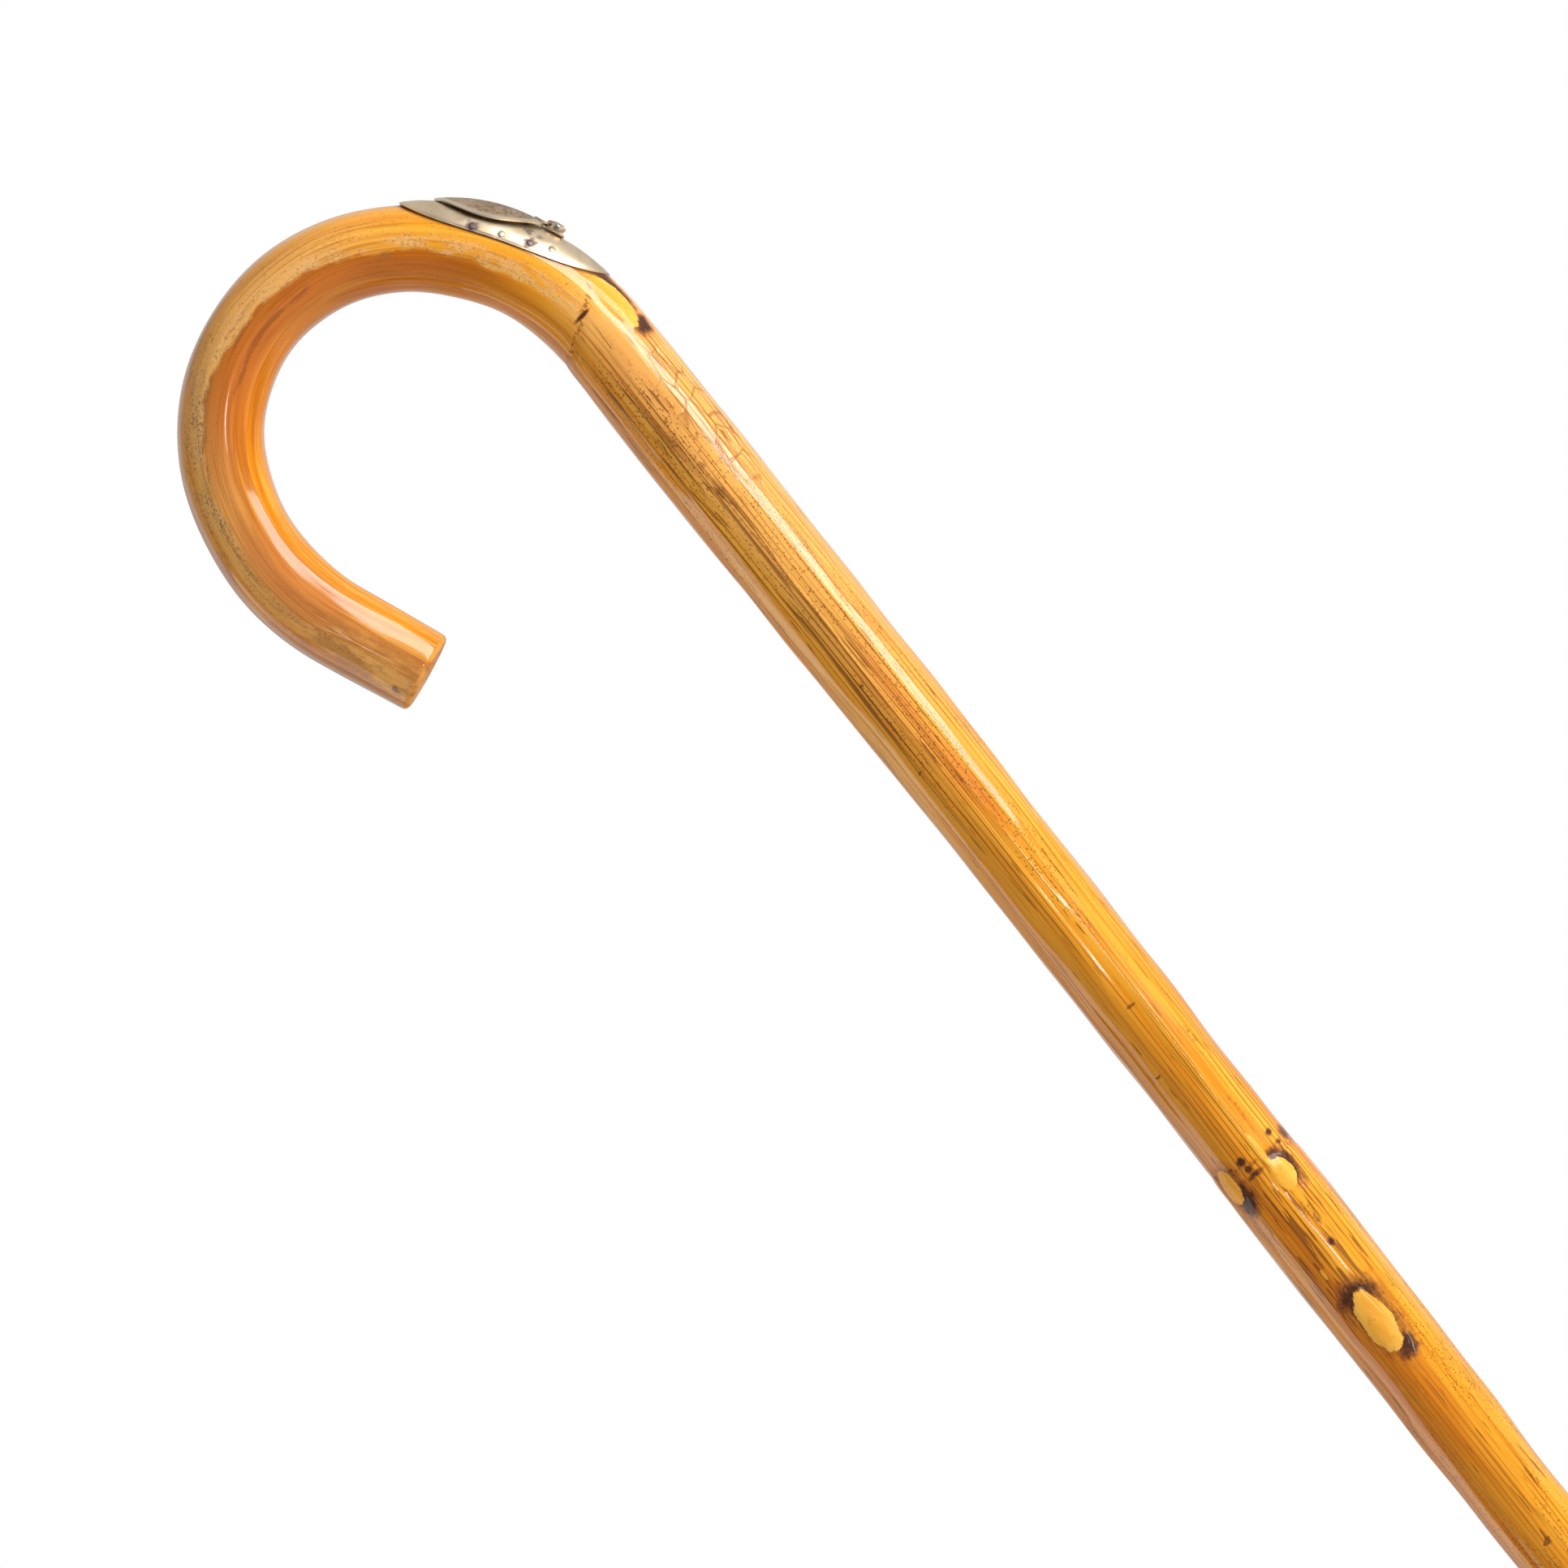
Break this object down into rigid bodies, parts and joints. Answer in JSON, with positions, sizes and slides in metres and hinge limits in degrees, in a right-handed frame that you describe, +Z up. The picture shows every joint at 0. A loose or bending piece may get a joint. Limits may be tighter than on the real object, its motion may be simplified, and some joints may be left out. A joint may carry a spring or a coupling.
{
  "type": "walking cane",
  "caption": "Varnished bent-wood crook cane with a metal saddle on its shoulder, a small hinged oval lid over a compartment, and a rubber-footed ferrule.",
  "frame": {"origin": "centre of the rubber foot's flat sole", "axes": "+Z up the shaft, -X towards the crook's nose, Y across the plane of the crook"},
  "size_m": [0.1151, 0.026, 0.8999],
  "materials": {
    "varnished_wood": "glossy amber varnish over a natural stick, worn and stained along the handle",
    "saddle_silver": "aged nickel silver, warm grey, softly polished",
    "lid_silver": "aged nickel silver, finely hammered with a bright burnished edge",
    "tarnished_tack": "dark tarnished metal",
    "steel": "plain steel",
    "ferrule_nickel": "dull nickel plate",
    "rubber": "matt black rubber"
  },
  "bodies": {
    "cane": {"stick_crook": "varnished_wood", "stick_shaft": "varnished_wood", "saddle_plate": "saddle_silver", "compartment_cup": "saddle_silver", "hinge_bracket": "saddle_silver", "hinge_pin": "steel", "ferrule_sleeve": "ferrule_nickel", "ferrule_washer": "steel", "rubber_foot": "rubber", "ferrule_nail_near": "tarnished_tack", "ferrule_nail_far": "tarnished_tack", "saddle_tack_near_1": "tarnished_tack", "saddle_tack_near_2": "tarnished_tack", "saddle_tack_near_3": "tarnished_tack", "saddle_tack_near_4": "tarnished_tack", "saddle_tack_far_1": "tarnished_tack", "saddle_tack_far_2": "tarnished_tack", "saddle_tack_far_3": "tarnished_tack", "saddle_tack_far_4": "tarnished_tack"},
    "lid": {"lid_shell": "lid_silver", "lid_rim": "lid_silver", "lid_knuckle": "lid_silver"}
  },
  "joints": [
    {"name": "lid_hinge", "type": "hinge", "parent": "cane", "child": "lid", "pos_m": [0.00729, 0, 0.86292], "axis": [0, 1, 0], "range_deg": [0, 105]}
  ]
}
